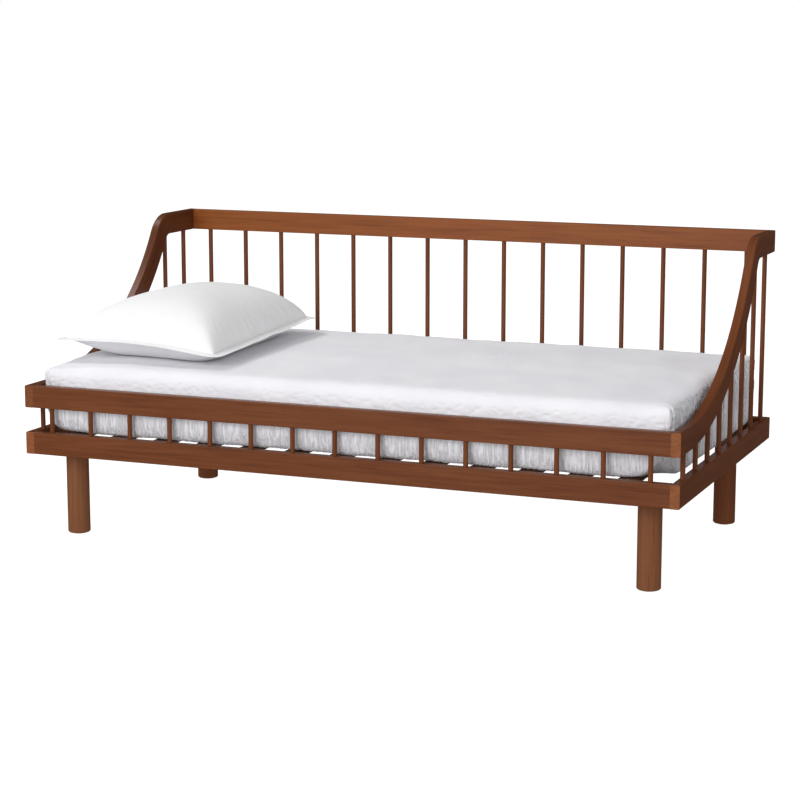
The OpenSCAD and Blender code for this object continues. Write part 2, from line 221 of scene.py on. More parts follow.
def arm_grain(shade):
    """The same for a bent arm, whose grain follows its sweep and its bend."""
    place = shade.node("SeparateXYZ", {0: shade.place()})
    x, y, z = (place.outputs[k] for k in "XYZ")

    def polar(cy, cz):
        dy = shade.math("SUBTRACT", y, cy)
        dz = shade.math("SUBTRACT", z, cz)
        squares = shade.math("MULTIPLY_ADD", dy, dy, shade.math("MULTIPLY", dz, dz))
        return shade.math("SQRT", squares), dy, dz

    reach, dy, dz = polar(SWEEP_Y, SWEEP_Z)
    across_sweep = shade.math("SUBTRACT", SWEEP_R, reach)
    angle = shade.math("ARCTAN2", dy, shade.math("MULTIPLY", dz, -1.0))
    along_sweep = shade.math("MULTIPLY", angle, SWEEP_R)
    near, by, bz = polar(BEND_Y, BEND_Z)
    across_bend = shade.math("SUBTRACT", near, BEND_R)
    turn = shade.math("ARCTAN2", by, bz)
    along_bend = shade.math("MULTIPLY_ADD", turn, BEND_R, (SWEEP_R + BEND_R) * ARM_TURN)
    # the bend begins where the sweep has turned as far as it goes
    past = shade.math("GREATER_THAN", angle, ARM_TURN)
    front = shade.math("LESS_THAN", y, SWEEP_Y)
    back = shade.math("GREATER_THAN", y, BEND_Y)

    def choose(mask, a, b):
        made = shade.node("Mix", {0: mask}, data_type="FLOAT")
        shade.put(made.inputs[2], a)
        shade.put(made.inputs[3], b)
        return made.outputs[0]

    across = choose(past, across_sweep, across_bend)
    across = choose(back, across, shade.math("SUBTRACT", z, TOP_MID))
    across = choose(front, across, shade.math("SUBTRACT", z, UPPER_MID))
    along = choose(past, along_sweep, along_bend)
    far = shade.math("ADD", shade.math("SUBTRACT", y, BEND_Y), (SWEEP_R + BEND_R) * ARM_TURN)
    along = choose(back, along, far)
    along = choose(front, along, shade.math("SUBTRACT", y, SWEEP_Y))
    turned = shade.node("CombineXYZ", {0: along, 1: x, 2: across})
    normal = shade.node("SeparateXYZ", {0: shade.normal()})
    facing = shade.math("ABSOLUTE", normal.outputs["Y"])
    at_end = shade.math("GREATER_THAN", shade.math("ABSOLUTE", y), BACK_Y - 3.25 * MM)
    ends = shade.math("MULTIPLY", shade.remap(facing, 0.8, 0.9), at_end)
    return turned.outputs[0], ends


def wood(name, grain, colours, satin=0.40, coat=0.08):
    """Stained timber with long grain along its length and pores on its ends."""
    shade = Shade(
        name, Specular_IOR_Level=0.24, Coat_Weight=coat, Coat_Roughness=0.26, Coat_IOR=1.5,
    )
    place, ends = arm_grain(shade) if grain == "ARM" else straight_grain(shade, grain)
    pores, body, pale = colours
    broad = shade.noise(shade.scaled(place, (1.6, 20, 20)), detail=3, rough=0.6, distort=0.7)
    streak = shade.scaled(place, (5, 120, 120))
    streak = shade.noise(streak, detail=5, rough=0.62, distort=0.25)
    fine = shade.noise(shade.scaled(place, (26, 620, 620)), detail=3, rough=0.6)
    tone = shade.math("MULTIPLY_ADD", broad, 0.45, shade.math("MULTIPLY", streak, 0.55))
    long_grain = shade.ramp(tone, [(0.24, pores), (0.45, body), (0.72, pale)])
    fleck = shade.remap(fine, 0.60, 0.72)
    long_grain = shade.mix(shade.math("MULTIPLY", fleck, 0.55), long_grain, pores)

    # growth rings and open pores where the timber is cut across
    rings = shade.noise(shade.scaled(place, (40, 60, 260)), detail=3, rough=0.5, distort=0.8)
    specks = shade.noise(shade.scaled(place, (900, 900, 900)), detail=2, rough=0.6)
    palest_tone = tuple(min(1, 1.5 * c) for c in pale)
    end_grain = shade.ramp(rings, [(0.34, pale), (0.62, palest_tone)])
    open_pores = shade.math("MULTIPLY", shade.remap(specks, 0.56, 0.7), 0.6)
    end_grain = shade.mix(open_pores, end_grain, pores)
    colour = shade.mix(ends, long_grain, end_grain)

    # stain thinned by wear along the eased edges, and a painted highlight there: the edges are
    # paler in colour, partly as wear and partly standing in for the light they catch
    bevel = shade.node("Bevel", {"Radius": 2.2 * MM}, samples=4)
    flat = shade.node("NewGeometry").outputs["Normal"]
    meet = shade.node("VectorMath", {0: bevel.outputs[0], 1: flat}, operation="DOT_PRODUCT")
    edge = shade.remap(meet.outputs["Value"], 0.985, 0.86)
    wear_and_highlight = shade.math("MULTIPLY", edge, shade.remap(streak, 0.35, 0.65, 0.15, 0.6))
    # painted highlight and wear: the eased edges are mixed towards the palest tone
    colour = shade.mix(wear_and_highlight, colour, palest_tone)

    rough = shade.math("MULTIPLY_ADD", streak, 0.16, satin - 0.08)
    rough = shade.math("MULTIPLY_ADD", ends, 0.14, rough)
    height = shade.math("SUBTRACT", shade.math("MULTIPLY", streak, 0.35), fleck)
    relief = shade.bump(height, 0.28, 0.25 * MM)
    return shade.finish(Base_Color=colour, Roughness=rough, Normal=relief)


def dress(names, material):
    """Gives CAD nodes a material, in place of the plain one they came with."""
    for name in names:
        data = nodes[name].data
        data.materials.clear()
        data.materials.append(material)


walnut_x = wood("walnut_long", "X", WALNUT)
walnut_y = wood("walnut_deep", "Y", WALNUT)
walnut_z = wood("walnut_upright", "Z", WALNUT)
# the back top rail's copy, lighter partly as stain and partly as painted light
walnut_back = wood("walnut_back_stain_and_light", "X", BACK_STAIN_AND_LIGHT)
# the front legs' copy, lighter partly as their tone and partly as painted light
walnut_leg_stain_and_light = wood("walnut_leg_stain_and_light", "Z", LEG_STAIN_AND_LIGHT)
walnut_arm = wood("walnut_bent", "ARM", WALNUT)
# the left arm's copy, darker partly as stain and partly as painted shade
arm_stain_and_shade = wood("walnut_bent_stain_and_shade", "ARM", LEFT_ARM_STAIN_AND_SHADE)
support_x = wood("support_long", "X", SUPPORT, satin=0.62, coat=0.0)
support_z = wood("support_block", "Z", SUPPORT, satin=0.62, coat=0.0)
slat_y = wood("slat_timber", "Y", SLAT, satin=0.55, coat=0.0)

dress(["front_upper_rail", "front_lower_rail", "back_lower_rail"], walnut_x)
dress(["back_top_rail"], walnut_back)
dress(["left_lower_rail", "right_lower_rail"], walnut_y)
dress(["right_arm"], walnut_arm)
dress(["left_arm"], arm_stain_and_shade)
dress([n for n in nodes if "spindle" in n], walnut_z)
dress([n for n in nodes if n.startswith("leg_front")], walnut_leg_stain_and_light)
dress([n for n in nodes if n.startswith("leg_back")], walnut_z)
dress([n for n in nodes if n.endswith("_ledger")], support_x)
dress([n for n in nodes if n.startswith("corner_block")], support_z)
dress([n for n in nodes if n.startswith("slat_")], slat_y)


# ---------------------------------------------------------------- small parts

def brushed_zinc():
    shade = Shade("brushed_zinc", Metallic=1.0, Specular_IOR_Level=0.5)
    brushed = shade.noise(shade.scaled(shade.place(), (60, 60, 2400)), detail=3)
    spangle = shade.noise(shade.place(), scale=420, detail=2)
    colour = shade.ramp(spangle, [(0.3, (0.42, 0.43, 0.45)), (0.7, (0.60, 0.61, 0.63))])
    rough = shade.remap(brushed, 0.3, 0.7, 0.26, 0.46)
    return shade.finish(
        Base_Color=colour, Roughness=rough, Normal=shade.bump(brushed, 0.15, 0.05 * MM),
    )


def grey_felt():
    shade = Shade("grey_felt", Sheen_Weight=0.35, Sheen_Roughness=0.6)
    fibres = shade.noise(shade.place(), scale=900, detail=5, rough=0.7, distort=1.5)
    clumps = shade.noise(shade.place(), scale=160, detail=3)
    tone = shade.math("MULTIPLY_ADD", fibres, 0.6, shade.math("MULTIPLY", clumps, 0.4))
    colour = shade.ramp(tone, [(0.3, (0.018, 0.017, 0.017)), (0.7, (0.060, 0.056, 0.053))])
    rough = shade.remap(clumps, 0.3, 0.7, 0.85, 1.0)
    return shade.finish(
        Base_Color=colour, Roughness=rough, Normal=shade.bump(fibres, 0.8, 0.4 * MM),
    )


dress(["hanger_bolts", "tee_nuts", "cam_dowels", "cam_locks", "wood_screws"], brushed_zinc())
dress(["foot_pads"], grey_felt())
dress(["dowels"], wood("dowel_beech", "Z", BEECH, satin=0.6, coat=0.0))


# ---------------------------------------------------------------- cloth materials

# Heights between which the mattress's gathers fade in, downwards
GATHER_FROM, GATHER_TO = 0.43, 0.37


def fabric(name, thread, colours, weave, relief, sheen, roughness, crinkle, gathered=False):
    """Cloth whose threads are drawn in all three directions, so it needs no UVs."""
    shade = Shade(name, Sheen_Weight=sheen, Sheen_Roughness=0.45, Specular_IOR_Level=0.25)
    place = shade.place()
    split = shade.node("SeparateXYZ", {0: place})
    wobble = shade.noise(place, scale=260, detail=2)
    slow = shade.noise(place, scale=5.5, detail=3, rough=0.5)
    bands = []
    for axis in "XYZ":
        turns = shade.math("MULTIPLY", split.outputs[axis], TAU / thread)
        turns = shade.math("MULTIPLY_ADD", wobble, 1.6, turns)
        bands.append(shade.math("SINE", turns))
    weft = shade.math("MULTIPLY", bands[0], bands[1])
    warp = shade.math("MULTIPLY", bands[2], shade.math("ADD", bands[0], bands[1]))
    cloth = shade.math("MULTIPLY_ADD", warp, weave, weft)
    dark, pale = colours
    tone = shade.math("MULTIPLY_ADD", cloth, 0.10, slow)
    colour = shade.ramp(tone, [(0.25, dark), (0.75, pale)])
    rough = shade.remap(slow, 0.3, 0.7, roughness - 0.06, roughness + 0.06)
    slubs = shade.noise(shade.scaled(place, (90, 260, 260)), detail=4, rough=0.6)
    height = shade.math("MULTIPLY_ADD", slubs, 0.8, cloth)
    crumple = shade.noise(place, scale=42, detail=3, rough=0.55, distort=0.9)
    folds = shade.bump(crumple, 0.5, crinkle)
    if gathered:
        # fine upright creases where the elastic draws it in: the ends and the lower half, with
        # painted shade in their valleys
        facing = shade.node("SeparateXYZ", {0: shade.normal()})
        slope = shade.math("ABSOLUTE", facing.outputs["Z"])
        upright = shade.remap(slope, 0.95, 0.55)
        at_end = shade.remap(shade.math("ABSOLUTE", facing.outputs["X"]), 0.25, 0.6)
        lower = shade.remap(split.outputs["Z"], GATHER_FROM, GATHER_TO, 0.0, 0.75)
        where = shade.math("MULTIPLY", upright, shade.math("MAXIMUM", at_end, lower))
        creases = shade.noise(shade.scaled(place, (165, 165, 13)), detail=3, distort=0.5)
        creases = shade.remap(creases, 0.36, 0.58)
        creases = shade.math("MULTIPLY", creases, where)
        folds = shade.bump(creases, 0.9, 3.2 * MM, folds)
        # painted shade: the colour darkens to grey in the valleys between the creases
        crease_shade = shade.math("SUBTRACT", where, creases)
        colour = shade.mix(shade.math("MULTIPLY", crease_shade, 0.62), colour, (0.42, 0.41, 0.43))
    return shade.finish(
        Base_Color=colour, Roughness=rough, Normal=shade.bump(height, 0.35, relief, folds),
    )


knit = fabric(
    "gathered_knit", 1.5 * MM, [(0.795, 0.790, 0.835), (0.872, 0.869, 0.902)],
    weave=0.6, relief=0.22 * MM, sheen=0.15, roughness=0.82, crinkle=2.2 * MM,
    gathered=True,
)
percale = fabric(
    "cotton_percale", 0.75 * MM, [(0.872, 0.872, 0.884), (0.908, 0.908, 0.916)],
    weave=0.5, relief=0.12 * MM, sheen=0.10, roughness=0.74, crinkle=0.7 * MM,
)
thread_cotton = fabric(
    "sewing_thread", 0.5 * MM, [(0.80, 0.80, 0.80), (0.88, 0.88, 0.88)],
    weave=0.5, relief=0.1 * MM, sheen=0.2, roughness=0.6, crinkle=0.2 * MM,
)


# ---------------------------------------------------------------- mesh helpers

def add_mesh(name, points, faces, material=None):
    data = bpy.data.meshes.new(name)
    data.from_pydata(np.asarray(points).tolist(), [], [list(face) for face in faces])
    data.polygons.foreach_set("use_smooth", [True] * len(data.polygons))
    data.update()
    if material:
        data.materials.append(material)
    made = bpy.data.objects.new(name, data)
    scene.collection.objects.link(made)
    return made


def coordinates(data):
    flat = np.empty(len(data.vertices) * 3, np.float32)
    data.vertices.foreach_get("co", flat)
    return flat.reshape(-1, 3).astype(float)


def vertex_normals(points, faces):
    """Outward normals of a quad mesh, by the faces round each point."""
    a, b, c, d = (points[faces[:, k]] for k in range(4))
    each = np.cross(c - a, d - b)
    total = np.zeros_like(points)
    for k in range(4):
        np.add.at(total, faces[:, k], each)
    return total / np.maximum(np.linalg.norm(total, axis=1), 1e-12)[:, None]


def smoothed(points, faces, rounds, keep=0.5):
    """Evens out a quad mesh along its edges."""
    edges = np.concatenate([faces[:, [k, (k + 1) % 4]] for k in range(4)])
    count = np.bincount(edges[:, 0], minlength=len(points))[:, None]
    for _ in range(rounds):
        total = np.zeros_like(points)
        np.add.at(total, edges[:, 0], points[edges[:, 1]])
        points = keep * points + (1 - keep) * total / np.maximum(count, 1)
    return points


def step(low, high, value):
    """0 below low, 1 above high, and smooth between them."""
    t = np.clip((value - low) / (high - low), 0, 1)
    return t * t * (3 - 2 * t)


def ripple(coordinate, random, shortest, longest, count=9):
    """Smooth one-dimensional noise between about -1 and 1."""
    lengths = np.exp(random.uniform(math.log(shortest), math.log(longest), count))
    phases = random.uniform(0, TAU, count)
    total = sum(np.sin(TAU * coordinate / l + p) for l, p in zip(lengths, phases))
    return total / math.sqrt(count / 2) * 0.7


def undulation(x, y, random, shortest, longest, count=14):
    """Smooth noise over a plane, between about -1 and 1."""
    total = 0
    for _ in range(count):
        length = math.exp(random.uniform(math.log(shortest), math.log(longest)))
        way = random.uniform(0, TAU)
        along = x * math.cos(way) + y * math.sin(way)
        total = total + np.sin(TAU * along / length + random.uniform(0, TAU))
    return total / math.sqrt(count / 2) * 0.7


def box_grid(xs, ys, zs):
    """A box's surface cut along the given lines: its points, quads and index."""
    nx, ny, nz = len(xs) - 1, len(ys) - 1, len(zs) - 1
    i, j, k = np.meshgrid(*(np.arange(n + 1) for n in (nx, ny, nz)), indexing="ij")
    skin = (i % nx == 0) | (j % ny == 0) | (k % nz == 0)
    index = np.full(skin.shape, -1)
    index[skin] = np.arange(skin.sum())
    points = np.stack([xs[i[skin]], ys[j[skin]], zs[k[skin]]], 1)
    faces = []
    sides = [
        (index[:, :, nz], False), (index[:, :, 0], True), (index[:, 0, :], False),
        (index[:, ny, :], True), (index[0], True), (index[nx], False),
    ]
    for side, turned in sides:
        quads = np.stack([side[:-1, :-1], side[1:, :-1], side[1:, 1:], side[:-1, 1:]], -1)
        quads = quads.reshape(-1, 4)
        faces.append(quads[:, ::-1] if turned else quads)
    return points, np.concatenate(faces), index


def side_share(points, half):
    """0 towards the long sides of a box, 1 towards its ends, smooth round its corners."""
    soft = 15 * MM
    dx, dy = half[0] - np.abs(points[:, 0]), half[1] - np.abs(points[:, 1])
    return (dy + soft) / (dx + dy + 2 * soft)


def box_chart(points, half, square):
    """(way round the outline from the front's left end, way down from the top edge,
    inset from the outline, turn from -1 to 1 round a corner or nothing off it)."""
    x, y, z = points.T
    lx, ly = 2 * (half[0] - square), 2 * (half[1] - square)
    arc = corner_length(square)
    u, v = np.abs(x) - lx / 2, np.abs(y) - ly / 2
    reach = np.maximum(np.maximum(u, v), 1e-9)
    turn = np.where(v >= u, u / reach - 1, 1 - v / reach)
    bend = (u > 0) & (v > 0)
    slim = half[0] - np.abs(x) < half[1] - np.abs(y)
    around = np.where(y < 0, x + lx / 2, lx + 2 * arc + ly + lx / 2 - x)
    around = np.where(slim & (x > 0), lx + arc + y + ly / 2, around)
    around = np.where(slim & (x <= 0), 2 * lx + 3 * arc + ly + ly / 2 - y, around)
    starts = [
        ((x > 0) & (y < 0), lx, 1), ((x > 0) & (y > 0), lx + arc + ly, -1),
        ((x < 0) & (y > 0), 2 * lx + 2 * arc + ly, 1),
        ((x < 0) & (y < 0), 2 * lx + 3 * arc + 2 * ly, -1),
    ]
    for where, start, way in starts:
        around = np.where(bend & where, start + (way * turn + 1) / 2 * arc, around)
    inset = np.minimum(half[0] - np.abs(x), half[1] - np.abs(y))
    down = half[2] - z
    down = np.where(z > half[2] - 1e-9, -inset, down)
    down = np.where(z < 1e-9 - half[2], 2 * half[2] + inset, down)
    return around, down, inset, np.where(bend, turn, np.nan)


def corner_length(square):
    """The length given to a corner in the way round the outline: two sides of its
    square, less what the arc of the smallest corner saves."""
    return 2 * square - 0.43 * CORNER


def round_box(points, half, square, corner, top_edge, low_edge):
    """Rounds a box: its top and bottom edges by a radius each, and its upright corners
    by a radius that changes with the height, within a square at each corner."""
    size = np.abs(points)
    sign = np.where(points < 0, -1.0, 1.0)
    inset = np.minimum(half[0] - size[:, 0], half[1] - size[:, 1])
    edge = np.where(points[:, 2] > 0, top_edge, low_edge)
    w = np.clip(edge - inset, 0, None)
    q = np.clip(size[:, 2] - (half[2] - edge), 0, None)
    fold = np.maximum(w, q) / np.maximum(np.hypot(w, q), 1e-9)
    moved = np.where(w > 0, edge - w * fold, inset)
    height = np.where(q > 0, half[2] - edge + q * fold, size[:, 2])
    x, y = size[:, 0].copy(), size[:, 1].copy()
    by_x = (half[0] - size[:, 0]) < (half[1] - size[:, 1])
    x = np.where(by_x & (w > 0), half[0] - moved, x)
    y = np.where(~by_x & (w > 0), half[1] - moved, y)
    turn = box_chart(points, half, square)[3]
    leg = np.clip(square - moved, 1e-6, None)
    radius = np.minimum(corner, 0.95 * leg)
    straight = leg - radius
    a = (np.nan_to_num(turn) + 1) / 2 * (2 * straight + radius * math.pi / 2)
    angle = np.clip((a - straight) / radius, 0, math.pi / 2)
    beyond = np.clip(a - straight - radius * math.pi / 2, 0, None)
    u = np.minimum(a, straight) + radius * np.sin(angle)
    v = straight + radius * np.cos(angle) - beyond
    bend = ~np.isnan(turn)
    x = np.where(bend, half[0] - square + u, x)
    y = np.where(bend, half[1] - square + v, y)
    return sign * np.stack([x, y, height], 1)


def weigh(piece, name, weights):
    group = piece.vertex_groups.new(name=name)
    tenths = np.round(weights, 1)
    for weight in np.unique(tenths):
        if weight > 0:
            group.add(np.flatnonzero(tenths == weight).tolist(), float(weight), "REPLACE")
    return name


def inflate(piece, pressure, frames, cap, stiffness, bending, pinned, loose, extra):
    """Blows up a cloth that is extra too big where it is loose, held where it is pinned.
    Returns its points, moved no more than cap."""
    start = coordinates(piece.data)
    modifier = piece.modifiers.new("Cloth", "CLOTH")
    cloth = modifier.settings
    cloth.quality = 6
    cloth.mass = 0.25
    cloth.air_damping = 4
    cloth.tension_stiffness = cloth.compression_stiffness = stiffness
    cloth.shear_stiffness = stiffness / 3
    cloth.bending_stiffness = bending
    cloth.use_pressure = True
    cloth.uniform_pressure_force = pressure
    cloth.effector_weights.gravity = 0
    cloth.vertex_group_mass = weigh(piece, "pinned", pinned)
    cloth.vertex_group_shrink = weigh(piece, "loose", loose)
    cloth.shrink_min = 0.0
    cloth.shrink_max = -extra
    modifier.collision_settings.use_collision = False
    modifier.point_cache.frame_start = 1
    modifier.point_cache.frame_end = frames
    for number in range(1, frames + 1):
        scene.frame_set(number)
    graph = bpy.context.evaluated_depsgraph_get()
    moved = coordinates(piece.evaluated_get(graph).data)
    piece.modifiers.remove(modifier)
    scene.frame_set(1)
    shift = moved - start
    length = np.linalg.norm(shift, axis=1)[:, None]
    return start + shift * np.minimum(1, cap / np.maximum(length, 1e-9))


# ---------------------------------------------------------------- mattress

low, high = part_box("mattress_cover")
MATTRESS_MID = np.array((low + high) / 2)
MATTRESS_HALF = np.array((high - low) / 2)
# A corner's square, and the radius of the upright corners at the top, above and below
SQUARE = 100 * MM
CORNER, UPPER_CORNER, LOWER_CORNER = 14 * MM, 34 * MM, 80 * MM
# Radii of the top edges
FRONT_EDGE, BACK_EDGE, LEFT_EDGE, RIGHT_EDGE = 46 * MM, 26 * MM, 16 * MM, 48 * MM
# How far the front left corner sinks, the front leans out, and the front right corner
# is pushed out above and tucked up below
DROOP, BELLY, PUSH, TUCK = 15 * MM, 11 * MM, 7 * MM, 30 * MM
# How much of the simulated swell is used
MOST_SWELL = 6 * MM


def lines(stops):
    """Grid lines through (place, spacing up to the next place) stops."""
    made = []
    for (start, gap), (end, _) in zip(stops, stops[1:]):
        count = max(1, round((end - start) / gap))
        made.extend(np.linspace(start, end, count, endpoint=False))
    made.append(stops[-1][0])
    return np.array(made)


def mattress_form(rest, shape):
    """The firm block: soft top edges that are tighter at the corners, and corners that
    are rounder below, where the cover's elastic draws them in."""
    x, y, _ = rest.T
    down = box_chart(rest, shape, SQUARE)[1]
    corner = UPPER_CORNER + (CORNER - UPPER_CORNER) * step(-40 * MM, 5 * MM, down)
    corner += (LOWER_CORNER - CORNER) * step(110 * MM, 190 * MM, down)
    long_side = np.where(y < 0, FRONT_EDGE, BACK_EDGE)
    end_side = np.where(x < 0, LEFT_EDGE, RIGHT_EDGE)
    top_edge = long_side + (end_side - long_side) * side_share(rest, shape)
    away = np.hypot(shape[0] - np.abs(x), shape[1] - np.abs(y))
    top_edge = top_edge * (1 - 0.45 * np.exp(-(away / (55 * MM)) ** 2))
    low_edge = 10 * MM + 14 * MM * np.exp(-away / (90 * MM))
    points = round_box(rest, shape, SQUARE, corner, top_edge, low_edge)

    # the front left corner has lost its height
    high = step(-0.2, 1.0, rest[:, 2] / shape[2])
    near = np.hypot(rest[:, 0] + shape[0], rest[:, 1] + shape[1])
    points[:, 2] -= DROOP * np.exp(-near / (110 * MM)) * high
    # the front's lower half leans out to the rail, between its corners
    level = (points[:, 2] + shape[2]) / (2 * shape[2])
    belly = np.sin(math.pi * np.clip(level / 0.75, 0, 1) ** 0.6) ** 2
    middle = 1 - np.abs((points[:, 0] + 0.12) / 1.05) ** 4
    front = np.exp(-np.clip(rest[:, 1] + shape[1], 0, None) / (60 * MM))
    points[:, 1] -= BELLY * np.clip(middle, 0, 1) * belly * front
    # the front right corner is pushed against the side frame, and tucked up below
    end = np.exp(-np.clip(shape[0] - rest[:, 0], 0, None) / (70 * MM)) * step(0.35, 0.6, level)
    points[:, 0] += PUSH * end * np.exp(-(rest[:, 1] + shape[1]) / (160 * MM))
    near = np.hypot(rest[:, 0] - shape[0], rest[:, 1] + shape[1])
    points[:, 2] += TUCK * np.exp(-(near / (55 * MM)) ** 2) * (1 - step(0, 0.5, level))
    return points


def blown_mattress(shape, random):
    """The cover's swell and slack, from a cloth simulation on an even grid."""
    cut = [np.linspace(-h, h, round(2 * h / (13 * MM)) + 1) for h in shape]
    rest, faces, index = box_grid(*cut)
    start = mattress_form(rest, shape)
    start += vertex_normals(start, faces) * random.normal(0, 1.2 * MM, len(start))[:, None]
    piece = add_mesh("mattress_blank", start, faces)
    _, down, inset, _ = box_chart(rest, shape, SQUARE)
    pinned = np.maximum(step(45 * MM, 120 * MM, inset), step(-50 * MM, 0, down - 2 * shape[2]))
    moved = inflate(piece, 2.0, 18, 40 * MM, 14, 0.3, pinned, 1 - pinned, 0.06)
    bpy.data.objects.remove(piece)
    # the block keeps its shape: only what is local to a crease or a swell is kept
    local = moved - start
    local -= smoothed(local, faces, 8)
    size = np.linalg.norm(local, axis=1)[:, None]
    shift = np.zeros((*index.shape, 3))
    shift[index >= 0] = local * np.minimum(1, MOST_SWELL / np.maximum(size, 1e-9))
    return cut, shift


def sampled(shift, cut, rest):
    """The simulated shift at the points of a finer grid, between its own lines."""
    base, part = [], []
    for axis in range(3):
        place = (rest[:, axis] - cut[axis][0]) / (cut[axis][1] - cut[axis][0])
        whole = np.clip(np.floor(place + 1e-6).astype(int), 0, len(cut[axis]) - 2)
        base.append(whole)
        part.append(np.clip(place - whole, 0, 1))
    total = 0
    for corner in range(8):
        pick = [(corner >> axis) & 1 for axis in range(3)]
        weight = np.prod([part[a] if pick[a] else 1 - part[a] for a in range(3)], axis=0)
        total = total + weight[:, None] * shift[tuple(base[a] + pick[a] for a in range(3))]
    return total


def pleats(around, down, random, places, width, depth, begin, finish):
    """Small upright folds: places along the outline, each with its own size and reach."""
    total = np.zeros_like(around)
    for place in places:
        w = random.uniform(*width)
        d = random.uniform(*depth)
        top, bottom = random.uniform(*begin), random.uniform(*finish)
        lean = random.uniform(-0.12, 0.12)
        near = np.abs(around - place) < 4 * w + 0.14 * 260 * MM
        a, t = around[near], down[near]
        off = (a - place - lean * (t - top)) / w
        reach = step(top - 14 * MM, top + 10 * MM, t) * (1 - step(bottom - 30 * MM, bottom, t))
        total[near] -= d * reach * (np.exp(-off * off) - 0.45 * np.exp(-0.25 * off * off))
    return total


def spaced(random, start, end, low_gap, high_gap):
    places = []
    at = start
    while at < end:
        places.append(at)
        at += random.uniform(low_gap, high_gap)
    return places


def thinned(points, faces, index, xs, ys):
    """Swaps the fine quads in the middle of the top and the bottom for cells of a few
    lines each way."""
    cells = []
    within = np.zeros(len(points), int)
    sides = ((1, index[:, :, -1], 60 * MM, 3), (-1, index[:, :, 0], 25 * MM, 6))
    for sign, side, margin, n in sides:
        spans = []
        for cuts in (xs, ys):
            first = int(np.searchsorted(cuts, cuts[0] + margin))
            last = int(np.searchsorted(cuts, cuts[-1] - margin))
            spans.append((first, last - (last - first) % n))
        (i0, i1), (j0, j1) = spans
        within[side[i0:i1 + 1, j0:j1 + 1]] = sign
        for i in range(i0, i1, n):
            for j in range(j0, j1, n):
                low_y = side[i:i + n, j] if j == j0 else side[i:i + 1, j]
                high_x = side[i + n, j:j + n] if i + n == i1 else side[i + n, j:j + 1]
                high_y = side[i + n:i:-1, j + n]
                low_x = side[i, j + n:j:-1]
                high_y = high_y if j + n == j1 else high_y[:1]
                low_x = low_x if i == i0 else low_x[:1]
                loop = np.concatenate([low_y, high_x, high_y, low_x])
                cells.append(loop[::sign].tolist())
    kept = faces[~((within[faces] == 1).all(1) | (within[faces] == -1).all(1))]
    used = np.unique(np.concatenate([kept.ravel(), *map(np.array, cells)]))
    place = np.full(len(points), -1)
    place[used] = np.arange(len(used))
    rows = place[kept].tolist() + [place[cell].tolist() for cell in cells]
    return points[used], rows


def gathers(around, down, shape, random):
    """How far the cover lies out at each point: its pleats, creases and puckers."""
    lx, ly = 2 * (shape[0] - SQUARE), 2 * (shape[1] - SQUARE)
    arc = corner_length(SQUARE)
    right, back = lx, lx + arc + ly
    left, whole = 2 * lx + 2 * arc + ly, 2 * (lx + ly) + 4 * arc
    tall = 2 * shape[2]
    lift = np.zeros_like(around)
    # gathers that run down both ends from the top edge
    for start, stop in ((right + arc / 2, back + arc / 2), (left + arc / 2, whole - arc / 2)):
        for low_gap, high_gap, deep in ((7 * MM, 14 * MM, 3.6 * MM), (22 * MM, 55 * MM, 6 * MM)):
            places = spaced(random, start, stop, low_gap, high_gap)
            lift += pleats(
                around, down, random, places, (2.6 * MM, 4.4 * MM), (0.4 * deep, deep),
                (-26 * MM, 4 * MM), (60 * MM, 200 * MM),
            )
    # tighter ruching beside the four corner creases
    for middle in (right + arc / 2, back + arc / 2, left + arc / 2, whole - arc / 2):
        places = spaced(random, middle - 18 * MM, middle + 40 * MM, 6 * MM, 10 * MM)
        lift += pleats(
            around, down, random, places, (2.6 * MM, 3.8 * MM), (2.0 * MM, 4.4 * MM),
            (-12 * MM, 10 * MM), (70 * MM, 200 * MM),
        )
        crease = np.exp(-((around - middle - 3 * MM) / (3.2 * MM)) ** 2)
        lift -= 4.5 * MM * crease * step(-8 * MM, 12 * MM, down) * (1 - step(0.12, 0.17, down))
    # elastic gathers above the bottom edge, all the way round
    for low_gap, high_gap, rise in ((5.5 * MM, 10 * MM, 70 * MM), (14 * MM, 34 * MM, 110 * MM)):
        places = spaced(random, 0, whole, low_gap, high_gap)
        lift += pleats(
            around, down, random, places, (2.6 * MM, 4.2 * MM), (0.8 * MM, 2.2 * MM),
            (tall - rise, tall - 0.4 * rise), (tall + 20 * MM, tall + 40 * MM),
        )
    # wavy puckers under the top edge, all the way round
    for level in (36, 45, 53, 62):
        wander = down - level * MM - 5 * MM * ripple(around, random, 0.03, 0.16)
        strength = 0.3 + 0.9 * ripple(around, random, 0.02, 0.08)
        lift -= 2.6 * MM * np.clip(strength, 0, 1.4) * np.exp(-(wander / (2.8 * MM)) ** 2)
    return lift


